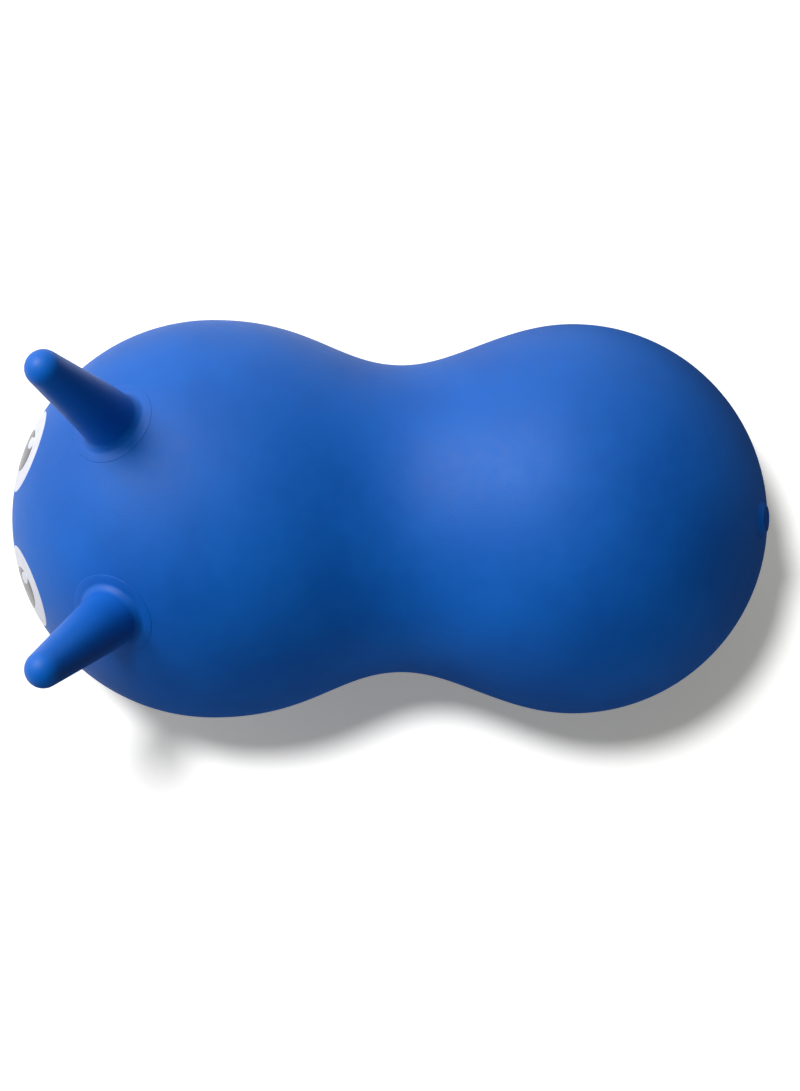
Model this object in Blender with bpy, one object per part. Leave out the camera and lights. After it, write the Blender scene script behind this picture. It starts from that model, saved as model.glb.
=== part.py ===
"""Inflatable animal hopper: a hollow two-lobed vinyl body that stands on two flattened floor
patches, two horns to hold, a stopper valve near the tail and printed eyes.

Metres, +Z up. The animal looks towards -Y, its left is +X, and the origin is on the floor under
the middle of its length."""

import math

import bmesh
import bpy
from mathutils import Matrix, Vector
from mathutils.geometry import interpolate_bezier

# Body, measured along its own axis from the nose to the tail
NOSE_LENGTH = 0.1434  # nose tip to the widest ring of the front lobe
FRONT_RADIUS = 0.1421  # front lobe at its widest ring
FRONT_SHOULDER = 0.1336  # front ring to the waist
WAIST_RADIUS = 0.1100  # waist, where the rider sits
REAR_SHOULDER = 0.1219  # waist to the rear ring
REAR_RADIUS = 0.1394  # rear lobe at its widest ring
TAIL_LENGTH = 0.1388  # rear ring to the tail
FRONT_EASE = 0.0695  # curve handle that leaves the front ring towards the waist
WAIST_EASE_FRONT = 0.0449  # curve handle that reaches the waist from the front
WAIST_EASE_REAR = 0.0387  # curve handle that leaves the waist towards the rear
REAR_EASE = 0.0496  # curve handle that reaches the rear ring
SKIN = 0.0025  # wall of the body
FLOOR_PRESS = 0.002  # depth by which its weight flattens each lobe on the floor

# Horns: where they stand on the front lobe, how they lean, and their sizes
HORN_AZIMUTH = math.radians(46.2)  # root, out from straight ahead
HORN_ELEVATION = math.radians(50.5)  # root, above the middle of the lobe
HORN_HEADING = math.radians(42.1)  # lean, out from straight ahead
HORN_TILT = math.radians(24.8)  # lean, away from upright
HORN_LENGTH = 0.100  # skin to the centre of the round tip
HORN_TIP_RADIUS = 0.0122
HORN_ROOT_RADIUS = 0.0205  # shaft carried down to the skin
HORN_FLARE_HEIGHT = 0.0065  # foot of the shaft that flares out to the flange
HORN_BEND_HEIGHT = 0.018  # foot of the shaft that turns from the skin's normal to the lean
FLARE_SPREAD = 0.42  # how softly the flare's curve turns, from 0 for a tight corner to 1
HORN_FLANGE_RADIUS = 0.0300
HORN_FLANGE_EDGE = 0.0005
HORN_FLANGE_LAND = 0.0037  # flat margin of the flange outside the flare
HORN_WALL = 0.0030
PORT_RADIUS = 0.0140  # hole in the skin under each horn
SPIGOT_REACH = 0.0040  # spigot below the inside of the skin
SPIGOT_WALL = 0.0025

# Valve near the tail
VALVE_ELEVATION = math.radians(22.0)  # above the middle of the rear lobe
VALVE_HOLE_RADIUS = 0.0100  # hole in the skin
BOSS_RADIUS = 0.0135
BOSS_RISE = 0.0028  # crest of the boss above the skin
BOSS_EDGE = 0.0008
CREST_WIDTH = 0.0016  # level ring round the plug's seat
BACK_FLANGE_RADIUS = 0.0160
BACK_FLANGE_THICKNESS = 0.0025
SLEEVE_RADIUS = 0.0070
SLEEVE_LENGTH = 0.0130  # from the skin's outside to the sleeve's inner end
SEAT_RADIUS = 0.0072  # recess for the plug's head
SEAT_DEPTH = 0.0024
BORE_RADIUS = 0.0042
NAIL_NOTCH_RADIUS = 0.0022  # scoop in the crest for a fingernail

# Plug
HEAD_PROUD = 0.0004  # plug's head above the crest
HEAD_RIM = 0.0014
HEAD_DISH = 0.0007
STEM_RADIUS = 0.0031
STEM_TIP_RADIUS = 0.0022
STEM_LENGTH = 0.0170  # below the head
RIB_COUNT = 3
RIB_PITCH = 0.0038
RIB_LENGTH = 0.0024

# Printed eyes: width along the face and height up the lobe
EYE_AZIMUTH = math.radians(20.3)
EYE_ELEVATION = math.radians(14.3)
EYE_SIZE = (0.0632, 0.0680)
PUPIL_SIZE = (0.0318, 0.0415)
CATCHLIGHT_SIZE = (0.0090, 0.0160)
CATCHLIGHT_PLACE = (-0.0062, 0.0120)  # from the middle of the pupil, to the same side in both eyes
INK = 0.0005

CLEARANCE = 0.0003  # between neighbours
OVERRUN = 0.010  # how far a cutter runs past what it cuts

# Facets
BODY_SIDES = 52
BODY_STEPS = 9
CAVITY_SIDES = 40
CAVITY_STEPS = 7
HORN_SIDES = 26
VALVE_SIDES = 30
EYE_SIDES = 32
PUPIL_SIDES = 26
CATCHLIGHT_SIDES = 16
EYE_RINGS = 3
QUARTER_STEPS = 5
CURVE_STEPS = 6
WELD = 0.000001
SHARP_ANGLE = math.radians(40.0)
QUARTER_HANDLE = 0.5523  # share of the radius that makes a curve handle draw a quarter ellipse

# Places that follow from the sizes
REAR_RING = FRONT_SHOULDER + REAR_SHOULDER  # from the front ring
OVERALL_LENGTH = NOSE_LENGTH + REAR_RING + TAIL_LENGTH
STANCE_PITCH = math.asin((FRONT_RADIUS - REAR_RADIUS) / REAR_RING)
STANCE_HEIGHT = FRONT_RADIUS - FLOOR_PRESS

UP = Vector((0.0, 0.0, 1.0))
OUTWARD = Vector((1.0, 0.0))  # in the plane of a profile, away from its axis
ALONG = Vector((0.0, 1.0))  # in the plane of a profile, along its axis
LATHE_TO_BODY = Matrix.Rotation(-math.pi / 2, 4, "X")  # turns the lathe's axis on Z to the body's on Y

for old in list(bpy.data.objects):
    bpy.data.objects.remove(old, do_unlink=True)

# The stance stands in the middle of the front lobe, pitched so that both lobes reach the floor
stance = bpy.data.objects.new("stance", None)
stance.location = (0.0, NOSE_LENGTH - OVERALL_LENGTH / 2, STANCE_HEIGHT)
stance.rotation_euler = (-STANCE_PITCH, 0.0, 0.0)
bpy.context.collection.objects.link(stance)


def finish(name, colour, roughness):
    """Material of one Principled shader; the colour is linear."""
    made = bpy.data.materials.new(name)
    made.use_nodes = True
    shader = made.node_tree.nodes["Principled BSDF"]
    shader.inputs["Base Color"].default_value = (*colour, 1.0)
    shader.inputs["Roughness"].default_value = roughness
    shader.inputs["Metallic"].default_value = 0.0
    return made


def lathe(profile, sides):
    """Mesh turned about Z from (radius, height) points that start and end on the axis."""
    bm = bmesh.new()
    points = [bm.verts.new((radius, 0.0, height)) for radius, height in profile]
    edges = [bm.edges.new(pair) for pair in zip(points, points[1:])]
    whole = {"angle": 2 * math.pi, "steps": sides, "use_merge": True}
    bmesh.ops.spin(bm, geom=points + edges, cent=(0, 0, 0), axis=UP, **whole)
    bmesh.ops.remove_doubles(bm, verts=bm.verts, dist=WELD)
    return bm


def place(name, bm, frame, material=None):
    """Object in the stance's frame; one without a material is a cutter or a joining form."""
    bmesh.ops.recalc_face_normals(bm, faces=bm.faces)
    mesh = bpy.data.meshes.new(name)
    bm.to_mesh(mesh)
    bm.free()
    mesh.shade_smooth()
    mesh.set_sharp_from_angle(angle=SHARP_ANGLE)
    made = bpy.data.objects.new(name, mesh)
    made.parent = stance
    made.matrix_basis = frame
    bpy.context.collection.objects.link(made)
    if material:
        mesh.materials.append(material)
    else:
        made.hide_render = True
        made.display_type = "WIRE"
    return made


def combine(piece, operation, other):
    """Boolean step that stays on the piece."""
    step = piece.modifiers.new(other.name, "BOOLEAN")
    step.operation = operation
    step.solver = "EXACT"
    step.object = other


def curve(start, leave, arrive, end, steps=CURVE_STEPS):
    """Points along one cubic curve in the plane of a profile."""
    return [tuple(p) for p in interpolate_bezier(start, leave, arrive, end, steps + 1)]


def arc(radius, centre_height, start, end, steps=QUARTER_STEPS):
    """Profile points on a circle about the lathe axis, by angle above the level of its centre."""
    angles = [start + (end - start) * i / steps for i in range(steps + 1)]
    return [(radius * math.cos(a), centre_height + radius * math.sin(a)) for a in angles]


def post(radius, low, high):
    """Profile of a plain round post."""
    return [(0.0, low), (radius, low), (radius, high), (0.0, high)]


def body_outline(offset, steps):
    """Half-outline of the body from nose to tail as (radius, station), moved out by offset."""
    nose = -NOSE_LENGTH * ALONG
    front = FRONT_RADIUS * OUTWARD
    waist = WAIST_RADIUS * OUTWARD + FRONT_SHOULDER * ALONG
    rear = REAR_RADIUS * OUTWARD + REAR_RING * ALONG
    tail = (REAR_RING + TAIL_LENGTH) * ALONG
    nose_out = nose + QUARTER_HANDLE * front
    nose_back = front + QUARTER_HANDLE * nose
    tail_back = rear + QUARTER_HANDLE * TAIL_LENGTH * ALONG
    tail_out = tail + QUARTER_HANDLE * REAR_RADIUS * OUTWARD
    line = curve(nose, nose_out, nose_back, front, steps)
    line += curve(front, front + FRONT_EASE * ALONG, waist - WAIST_EASE_FRONT * ALONG, waist, steps)[1:]
    line += curve(waist, waist + WAIST_EASE_REAR * ALONG, rear - REAR_EASE * ALONG, rear, steps)[1:]
    line += curve(rear, tail_back, tail_out, tail, steps)[1:]
    moved = [(0.0, nose.y - offset)]
    for before, here, after in zip(line, line[1:], line[2:]):
        run = Vector(after) - Vector(before)
        outward = Vector((run.y, -run.x)).normalized()
        moved.append(tuple(Vector(here) + offset * outward))
    return moved + [(0.0, tail.y + offset)]


def direction(azimuth, elevation, facing):
    """Unit vector by its angle out from straight ahead (or behind) and its angle above level."""
    level = math.cos(elevation)
    return Vector((level * math.sin(azimuth), facing * level * math.cos(azimuth), math.sin(elevation)))


def on_lobe(toward, half_length, radius):
    """Point and outward normal where a ray from a lobe's centre leaves its skin."""
    shrink = Vector((1 / radius, 1 / half_length, 1 / radius))
    point = toward / (toward * shrink).length
    return point, (point * shrink * shrink).normalized()


def skin_frame(point, normal, lean):
    """Frame on the skin with Z along the normal and Y on the side that lean points to."""
    across = lean.cross(normal).normalized()
    up = normal.cross(across)
    return Matrix.Translation(point) @ Matrix((across, up, normal)).transposed().to_4x4()


def fall(radius, lobe_radius):
    """How far a lobe's skin falls below its tangent plane at a distance from the touching point."""
    return lobe_radius - math.sqrt(lobe_radius**2 - radius**2)


def floor_cutter(name, level):
    """Block under a level floor plane; it isn't pitched with the stance."""
    bm = bmesh.new()
    bmesh.ops.create_cube(bm, size=2 * OVERALL_LENGTH)
    block = place(name, bm, Matrix.Translation((0.0, 0.0, level - OVERALL_LENGTH)))
    block.parent = None
    return block


def outline_form(name, offset, sides, steps):
    """Closed form of the body's outline, used to cut or to fit other pieces."""
    return place(name, lathe(body_outline(offset, steps), sides), LATHE_TO_BODY)


def body_shell(material):
    """Hollow skin, flattened on the floor inside and out so that its wall runs on there."""
    shell = place("body_shell", lathe(body_outline(0.0, BODY_STEPS), BODY_SIDES), LATHE_TO_BODY, material)
    cavity = outline_form("body_cavity", -SKIN, CAVITY_SIDES, CAVITY_STEPS)
    combine(cavity, "DIFFERENCE", floor_cutter("floor_inside", SKIN))
    combine(shell, "DIFFERENCE", floor_cutter("floor", 0.0))
    combine(shell, "DIFFERENCE", cavity)
    return shell


def bend(bm, lean):
    """Bends a form over its foot towards +Y, from upright at the skin to the lean above the foot."""
    turn_radius = HORN_BEND_HEIGHT / lean
    for vert in bm.verts:
        x, y, z = vert.co
        if z <= 0.0:
            continue
        angle = min(z, HORN_BEND_HEIGHT) / turn_radius
        run = max(0.0, z - HORN_BEND_HEIGHT)
        axis_y = turn_radius * (1 - math.cos(angle)) + run * math.sin(angle)
        axis_z = turn_radius * math.sin(angle) + run * math.cos(angle)
        vert.co = (x, axis_y + y * math.cos(angle), axis_z - y * math.sin(angle))


def horn(side, sign, shell, skin_gap, material):
    """Hollow grip on a flange that seats on the skin, with a spigot through the skin's port."""
    toward = direction(sign * HORN_AZIMUTH, HORN_ELEVATION, -1)
    point, normal = on_lobe(toward, NOSE_LENGTH, FRONT_RADIUS)
    axis = direction(sign * HORN_HEADING, math.pi / 2 - HORN_TILT, -1)
    frame = skin_frame(point, normal, axis)
    lean = normal.angle(axis)

    taper = (HORN_ROOT_RADIUS - HORN_TIP_RADIUS) / HORN_LENGTH
    tip_turn = math.asin(taper)
    flare_top = (HORN_ROOT_RADIUS - taper * HORN_FLARE_HEIGHT, HORN_FLARE_HEIGHT)
    bend_top = (HORN_ROOT_RADIUS - taper * HORN_BEND_HEIGHT, HORN_BEND_HEIGHT)
    flange_top = CLEARANCE + HORN_FLANGE_EDGE
    edge_top = flange_top - fall(HORN_FLANGE_RADIUS, FRONT_RADIUS)
    land = HORN_FLANGE_RADIUS - HORN_FLANGE_LAND
    land_top = flange_top - fall(land, FRONT_RADIUS)
    below = edge_top - OVERRUN
    foot = [(0.0, below), (HORN_FLANGE_RADIUS, below), (HORN_FLANGE_RADIUS, edge_top)]
    spread = FLARE_SPREAD * land + (1 - FLARE_SPREAD) * flare_top[0]
    climb = (flare_top[0], FLARE_SPREAD * HORN_FLARE_HEIGHT)
    flare = curve((land, land_top), (spread, land_top), climb, flare_top)
    tip = arc(HORN_TIP_RADIUS, HORN_LENGTH, tip_turn, math.pi / 2)
    form = lathe(foot + flare + [bend_top] + tip[:-1] + [(0.0, HORN_LENGTH + HORN_TIP_RADIUS)], HORN_SIDES)
    bend(form, lean)
    made = place(f"horn_{side}", form, frame, material)
    combine(made, "DIFFERENCE", skin_gap)

    spigot_radius = PORT_RADIUS - CLEARANCE
    spigot_end = -fall(PORT_RADIUS, FRONT_RADIUS) - SKIN - SPIGOT_REACH
    spigot = lathe(post(spigot_radius, spigot_end, flange_top), HORN_SIDES)
    combine(made, "UNION", place(f"spigot_{side}", spigot, frame))

    bore = spigot_radius - SPIGOT_WALL
    hollow_end = spigot_end - OVERRUN
    hollow_tip = HORN_TIP_RADIUS - HORN_WALL
    hollow = [(0.0, hollow_end), (bore, hollow_end), (bore, flange_top + HORN_WALL)]
    hollow += [(flare_top[0] - HORN_WALL, HORN_FLARE_HEIGHT), (bend_top[0] - HORN_WALL, HORN_BEND_HEIGHT)]
    hollow += arc(hollow_tip, HORN_LENGTH, tip_turn, math.pi / 2)[:-1]
    hollow_form = lathe(hollow + [(0.0, HORN_LENGTH + hollow_tip)], HORN_SIDES)
    bend(hollow_form, lean)
    combine(made, "DIFFERENCE", place(f"hollow_{side}", hollow_form, frame))

    port = lathe(post(PORT_RADIUS, -OVERRUN, OVERRUN), HORN_SIDES)
    combine(shell, "DIFFERENCE", place(f"port_{side}", port, frame))


def valve_frame():
    """Frame of the valve on the rear lobe's skin."""
    point, normal = on_lobe(direction(0.0, VALVE_ELEVATION, 1), TAIL_LENGTH, REAR_RADIUS)
    return skin_frame(point + Vector((0.0, REAR_RING, 0.0)), normal, UP)


def valve_bush(shell, skin_gap, cavity_gap, material):
    """Grommet: a domed boss outside, a flange inside and a sleeve that guides the plug."""
    frame = valve_frame()
    edge_top = CLEARANCE + BOSS_EDGE - fall(BOSS_RADIUS, REAR_RADIUS)
    crest = SEAT_RADIUS + CREST_WIDTH
    middle = (BOSS_RADIUS + crest) / 2
    boss = [(0.0, edge_top - OVERRUN), (BOSS_RADIUS, edge_top - OVERRUN)]
    boss += curve((BOSS_RADIUS, edge_top), (middle, edge_top), (middle, BOSS_RISE), (crest, BOSS_RISE))
    made = place("valve_bush", lathe(boss + [(0.0, BOSS_RISE)], VALVE_SIDES), frame, material)
    combine(made, "DIFFERENCE", skin_gap)

    neck = VALVE_HOLE_RADIUS - CLEARANCE
    back = -SKIN - CLEARANCE - fall(BACK_FLANGE_RADIUS, REAR_RADIUS)
    flange = lathe(post(BACK_FLANGE_RADIUS, back - BACK_FLANGE_THICKNESS, 0.0), VALVE_SIDES)
    back_flange = place("back_flange", flange, frame)
    combine(back_flange, "INTERSECT", cavity_gap)
    combine(made, "UNION", back_flange)
    core = [(0.0, -SLEEVE_LENGTH), (SLEEVE_RADIUS, -SLEEVE_LENGTH), (SLEEVE_RADIUS, back)]
    core += [(neck, back), (neck, BOSS_EDGE), (0.0, BOSS_EDGE)]
    combine(made, "UNION", place("valve_core", lathe(core, VALVE_SIDES), frame))

    seat = BOSS_RISE - SEAT_DEPTH
    bore_end = -SLEEVE_LENGTH - OVERRUN
    mouth = BOSS_RISE + OVERRUN
    bore = [(0.0, bore_end), (BORE_RADIUS, bore_end), (BORE_RADIUS, seat)]
    bore += [(SEAT_RADIUS, seat), (SEAT_RADIUS, mouth), (0.0, mouth)]
    combine(made, "DIFFERENCE", place("valve_bore", lathe(bore, VALVE_SIDES), frame))
    scoop = lathe(arc(NAIL_NOTCH_RADIUS, 0.0, -math.pi / 2, math.pi / 2, 2 * QUARTER_STEPS), VALVE_SIDES // 2)
    scoop_frame = frame @ Matrix.Translation((0.0, -SEAT_RADIUS, BOSS_RISE))
    combine(made, "DIFFERENCE", place("nail_notch", scoop, scoop_frame))

    hole = lathe(post(VALVE_HOLE_RADIUS, -OVERRUN, OVERRUN), VALVE_SIDES)
    combine(shell, "DIFFERENCE", place("valve_hole", hole, frame))


def valve_plug(material):
    """Stopper with a dished head in the seat and barbed ribs along its stem; it pulls out along Z."""
    head = SEAT_RADIUS - CLEARANCE
    rib = BORE_RADIUS - CLEARANCE
    under = BOSS_RISE - SEAT_DEPTH + CLEARANCE
    top = BOSS_RISE + HEAD_PROUD
    tip = under - STEM_LENGTH
    dish = top - HEAD_DISH
    edge = HEAD_RIM / 2
    profile = [(0.0, tip), (STEM_TIP_RADIUS, tip)]
    first_rib = tip + (STEM_LENGTH - RIB_COUNT * RIB_PITCH) / 2
    for i in range(RIB_COUNT):
        foot = first_rib + i * RIB_PITCH
        profile += [(STEM_RADIUS, foot), (rib, foot + RIB_LENGTH), (STEM_RADIUS, foot + RIB_LENGTH)]
    profile += [(STEM_RADIUS, under), (head, under), (head, top - edge), (head - edge, top)]
    profile += [(head - HEAD_RIM, top), (head - HEAD_RIM - HEAD_DISH, dish), (0.0, dish)]
    place("valve_plug", lathe(profile, VALVE_SIDES), valve_frame(), material)


def eye_patch(name, sign, size, middle, sides, low, high, material=None):
    """Oval layer that follows the front lobe, from low to high above its skin."""
    point, normal = on_lobe(direction(sign * EYE_AZIMUTH, EYE_ELEVATION, -1), NOSE_LENGTH, FRONT_RADIUS)
    frame = skin_frame(point, normal, UP)
    rings = [i / EYE_RINGS for i in range(EYE_RINGS + 1)]
    bm = lathe([(r, low) for r in rings] + [(r, high) for r in reversed(rings)], sides)
    half_facet = Matrix.Rotation(math.pi / sides, 3, "Z")
    for vert in bm.verts:
        unit = half_facet @ vert.co
        flat = Vector((middle[0] + unit.x * size[0] / 2, middle[1] + unit.y * size[1] / 2, 0.0))
        skin, outward = on_lobe(frame @ flat, NOSE_LENGTH, FRONT_RADIUS)
        vert.co = skin + unit.z * outward
    return place(name, bm, Matrix.Identity(4), material)


def eye(side, sign, white, black):
    """Printed eye: white with the pupil let into it, and a catchlight that bites the pupil's edge."""
    centre = (0.0, 0.0)

    def ink(name, size, middle, sides, material):
        return eye_patch(f"{name}_{side}", sign, size, middle, sides, CLEARANCE, CLEARANCE + INK, material)

    def window(name, size, middle, sides):
        grown = [length + 2 * CLEARANCE for length in size]
        return eye_patch(f"{name}_{side}", sign, grown, middle, sides, -OVERRUN, OVERRUN)

    ball = ink("eye_white", EYE_SIZE, centre, EYE_SIDES, white)
    pupil = ink("eye_pupil", PUPIL_SIZE, centre, PUPIL_SIDES, black)
    ink("eye_catchlight", CATCHLIGHT_SIZE, CATCHLIGHT_PLACE, CATCHLIGHT_SIDES, white)
    light_window = window("catchlight_window", CATCHLIGHT_SIZE, CATCHLIGHT_PLACE, CATCHLIGHT_SIDES)
    combine(ball, "DIFFERENCE", window("pupil_window", PUPIL_SIZE, centre, PUPIL_SIDES))
    combine(ball, "DIFFERENCE", light_window)
    combine(pupil, "DIFFERENCE", light_window)


skin_vinyl = finish("skin_vinyl", (0.031, 0.125, 0.486), 0.55)
horn_vinyl = finish("horn_vinyl", (0.029, 0.118, 0.462), 0.55)
valve_vinyl = finish("valve_vinyl", (0.026, 0.110, 0.440), 0.50)
plug_vinyl = finish("plug_vinyl", (0.024, 0.100, 0.410), 0.45)
white_ink = finish("white_ink", (0.86, 0.87, 0.88), 0.40)
black_ink = finish("black_ink", (0.012, 0.012, 0.014), 0.35)

skin_gap = outline_form("skin_gap", CLEARANCE, BODY_SIDES, BODY_STEPS)
cavity_gap = outline_form("cavity_gap", -SKIN - CLEARANCE, CAVITY_SIDES, CAVITY_STEPS)
shell = body_shell(skin_vinyl)
valve_bush(shell, skin_gap, cavity_gap, valve_vinyl)
valve_plug(plug_vinyl)
for side, sign in (("left", 1), ("right", -1)):
    horn(side, sign, shell, skin_gap, horn_vinyl)
    eye(side, sign, white_ink, black_ink)
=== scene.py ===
# %% [markdown]
# # An air-filled animal hopper
# A hopper is a soft vinyl toy that a small child sits on and bounces along. This one is two round
# lobes with a waist to sit on, two horns to hold, printed eyes at the front and a stopper valve at
# the tail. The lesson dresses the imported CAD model: every piece is made again with smooth, dense
# surfaces and a finish of its own, in metres, in the same frame as the CAD.

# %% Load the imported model
import math
import bmesh
import bpy
from mathutils import Matrix, Vector
from mathutils.geometry import interpolate_bezier


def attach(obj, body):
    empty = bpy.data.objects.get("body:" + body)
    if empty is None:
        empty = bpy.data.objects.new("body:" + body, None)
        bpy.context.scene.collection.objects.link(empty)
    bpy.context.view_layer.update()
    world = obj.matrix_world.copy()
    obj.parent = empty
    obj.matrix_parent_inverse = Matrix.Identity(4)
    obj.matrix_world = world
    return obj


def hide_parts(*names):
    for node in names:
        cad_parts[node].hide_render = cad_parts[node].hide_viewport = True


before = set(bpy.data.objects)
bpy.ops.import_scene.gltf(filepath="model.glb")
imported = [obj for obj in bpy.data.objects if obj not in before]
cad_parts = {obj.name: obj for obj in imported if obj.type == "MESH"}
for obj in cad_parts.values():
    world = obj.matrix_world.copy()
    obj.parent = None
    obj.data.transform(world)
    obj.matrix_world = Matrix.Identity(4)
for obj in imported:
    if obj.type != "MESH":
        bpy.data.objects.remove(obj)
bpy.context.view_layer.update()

# %% [markdown]
# ## Camera
# The photograph looks straight down on the hopper, with the nose to the left. The two ends and the
# two sides look alike, so the lens stood above the waist and far away, at about 1.7 m over the widest
# level of the body. The picture was then cut a little lower than its middle, which a small vertical
# shift repeats. Moving the camera instead would show more of one flank than the photograph does.

# %% Camera above the waist
LENS_HEIGHT = 1.8384
LENS_STATION = 0.0070
PHOTO_HEIGHT = 1091
FRAME_HEIGHT = 0.782
LENS_TO_MIDDLE = 1.70
AXIS_ABOVE_CENTRE = 26.8
camera_data = bpy.data.cameras.new("camera")
camera_data.sensor_fit = "VERTICAL"
camera_data.sensor_height = 24.0
camera_data.lens = camera_data.sensor_height * LENS_TO_MIDDLE / FRAME_HEIGHT
camera_data.shift_y = -AXIS_ABOVE_CENTRE / PHOTO_HEIGHT
camera_data.clip_end = 200.0
camera = bpy.data.objects.new("camera", camera_data)
camera.location = (0.0, LENS_STATION, LENS_HEIGHT)
camera.rotation_euler = (0.0, 0.0, math.pi / 2)
bpy.context.scene.collection.objects.link(camera)
bpy.context.scene.camera = camera
print("lens", round(camera_data.lens, 2), "mm")

# %% [markdown]
# ## Nodes and colours
# Both shaders and Geometry Nodes are trees of nodes, so one function adds a node of any kind. An
# input that is given a socket is linked to it, and any other input is set. Colours are written as
# sRGB hex values, as a colour picker shows them, and one function turns them to the linear values
# that shaders count with.

# %% One function for nodes, one for colours
def add(tree, kind, inputs=None, **settings):
    """Adds a node: settings are its own properties, inputs are values or sockets to link."""
    node = tree.nodes.new(kind)
    for name, value in settings.items():
        setattr(node, name, value)
    for name, value in (inputs or {}).items():
        if isinstance(value, bpy.types.NodeSocket):
            tree.links.new(value, node.inputs[name])
        else:
            node.inputs[name].default_value = value
    return node


def colour(hexadecimal):
    """Linear colour with alpha from an sRGB hex value such as 0A5BC4."""
    channels = [int(hexadecimal[i : i + 2], 16) / 255 for i in (0, 2, 4)]
    return [c / 12.92 if c <= 0.04045 else ((c + 0.055) / 1.055) ** 2.4 for c in channels] + [1.0]


print("hex 808080 is", [round(channel, 3) for channel in colour("808080")[:3]], "in linear light")

# %% [markdown]
# ## Soft PVC
# The skin, horns, bush and stopper are soft PVC, cast or moulded in tools with a fine satin texture.
# That gives a saturated colour under a broad, weak sheen. The pigment is a little uneven from thick
# to thin places, the texture is a fine grain, and where the toy rubs on the floor the satin is scuffed
# paler and duller. A real grain of 0.3 mm is finer than a pixel of the picture, so it is drawn at
# 1.2 mm, and low, so that it shows only close up.

# %% Soft PVC finish
MILLIMETRE = 0.001
GRAIN = 1.2 * MILLIMETRE
CLOUD = 80.0 * MILLIMETRE
SMEAR = 9.0 * MILLIMETRE
SCRATCH = 2.5 * MILLIMETRE
SCUFF_HEIGHT = 14.0 * MILLIMETRE


def soft_pvc(name, thick, thin, roughness, grain_height):
    """Satin moulded PVC; thick and thin are its colour where the wall is deep or shallow."""
    material = bpy.data.materials.new(name)
    material.use_nodes = True
    tree = material.node_tree
    shader = tree.nodes["Principled BSDF"]
    place = add(tree, "ShaderNodeTexCoord").outputs["Object"]
    cloud = add(tree, "ShaderNodeTexNoise", {"Vector": place, "Scale": 1 / CLOUD, "Detail": 2.0})
    smear = add(tree, "ShaderNodeTexNoise", {"Vector": place, "Scale": 1 / SMEAR, "Detail": 4.0})
    both = add(tree, "ShaderNodeMath", {0: smear.outputs["Fac"], 1: 0.3, 2: cloud.outputs["Fac"]},
               operation="MULTIPLY_ADD")
    depth = add(tree, "ShaderNodeMapRange",
                {"Value": both.outputs[0], "From Min": 0.45, "From Max": 0.85})
    pigment = add(tree, "ShaderNodeMix", {"Factor": depth.outputs[0], 6: colour(thick), 7: colour(thin)},
                  data_type="RGBA")
    streak_place = add(tree, "ShaderNodeMapping", {"Vector": place, "Scale": (1.0, 0.12, 0.5)})
    streak = add(tree, "ShaderNodeTexNoise",
                 {"Vector": streak_place.outputs[0], "Scale": 1 / SCRATCH, "Detail": 5.0})
    height = add(tree, "ShaderNodeSeparateXYZ", {"Vector": place}).outputs["Z"]
    low = add(tree, "ShaderNodeMapRange",
              {"Value": height, "From Min": 0.001, "From Max": SCUFF_HEIGHT, "To Min": 1.0, "To Max": 0.0})
    rub = add(tree, "ShaderNodeMapRange",
              {"Value": streak.outputs["Fac"], "From Min": 0.5, "From Max": 0.68, "To Max": 0.5})
    scuff = add(tree, "ShaderNodeMath", {0: low.outputs[0], 1: rub.outputs[0]}, operation="MULTIPLY")
    worn = add(tree, "ShaderNodeMix",
               {"Factor": scuff.outputs[0], 6: pigment.outputs[2], 7: colour("5F83BE")}, data_type="RGBA")
    satin = add(tree, "ShaderNodeMapRange",
                {"Value": smear.outputs["Fac"], "From Min": 0.3, "From Max": 0.7,
                 "To Min": roughness - 0.03, "To Max": roughness + 0.03})
    dull = add(tree, "ShaderNodeMath", {0: scuff.outputs[0], 1: 0.3, 2: satin.outputs[0]},
               operation="MULTIPLY_ADD", use_clamp=True)
    grain = add(tree, "ShaderNodeTexNoise",
                {"Vector": place, "Scale": 1 / GRAIN, "Detail": 1.0, "Roughness": 0.4})
    bump = add(tree, "ShaderNodeBump",
               {"Height": grain.outputs["Fac"], "Strength": 1.0, "Distance": grain_height})
    tree.links.new(worn.outputs[2], shader.inputs["Base Color"])
    tree.links.new(dull.outputs[0], shader.inputs["Roughness"])
    tree.links.new(bump.outputs[0], shader.inputs["Normal"])
    shader.inputs["IOR"].default_value = 1.48
    return material


print("grain", GRAIN, "cloud", CLOUD, "scuffs up to", SCUFF_HEIGHT)

# %% [markdown]
# Each kind of piece has its own tone. On a horn the flange takes the colour of the skin that it is bonded
# to, and the grip above it is painted a little lighter. This is painted light: grip and flange are the same
# vinyl, and the lighter colour stands in for the brighter light on the grip. The horn's mesh carries a
# number for that, 0 on the flange and 1 up the grip, and the finish mixes two colours by it.

# %% Four tones of soft PVC
skin_pvc = soft_pvc("soft_pvc_skin", "035AB8", "0764C6", 0.60, 0.11 * MILLIMETRE)
horn_pvc = soft_pvc("soft_pvc_horns", "035AB8", "0764C6", 0.54, 0.10 * MILLIMETRE)
bush_pvc = soft_pvc("soft_pvc_bush", "0358B4", "0761C1", 0.58, 0.08 * MILLIMETRE)
plug_pvc = soft_pvc("soft_pvc_plug", "0450AE", "0657BB", 0.45, 0.05 * MILLIMETRE)
tree = horn_pvc.node_tree
tint = tree.nodes["Principled BSDF"].inputs["Base Color"]
# Painted light: the grip is mixed towards a lighter blue than the flange, which stands in for brighter
# light on the same vinyl.
lit_grip_share = add(tree, "ShaderNodeAttribute", attribute_name="grip").outputs["Fac"]
grip_painted_light = add(tree, "ShaderNodeMix", {"Factor": lit_grip_share, 6: tint.links[0].from_socket, 7: colour("0264C9")},
           data_type="RGBA")
tree.links.new(grip_painted_light.outputs[2], tint)
print("soft PVC in four tones")

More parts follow.
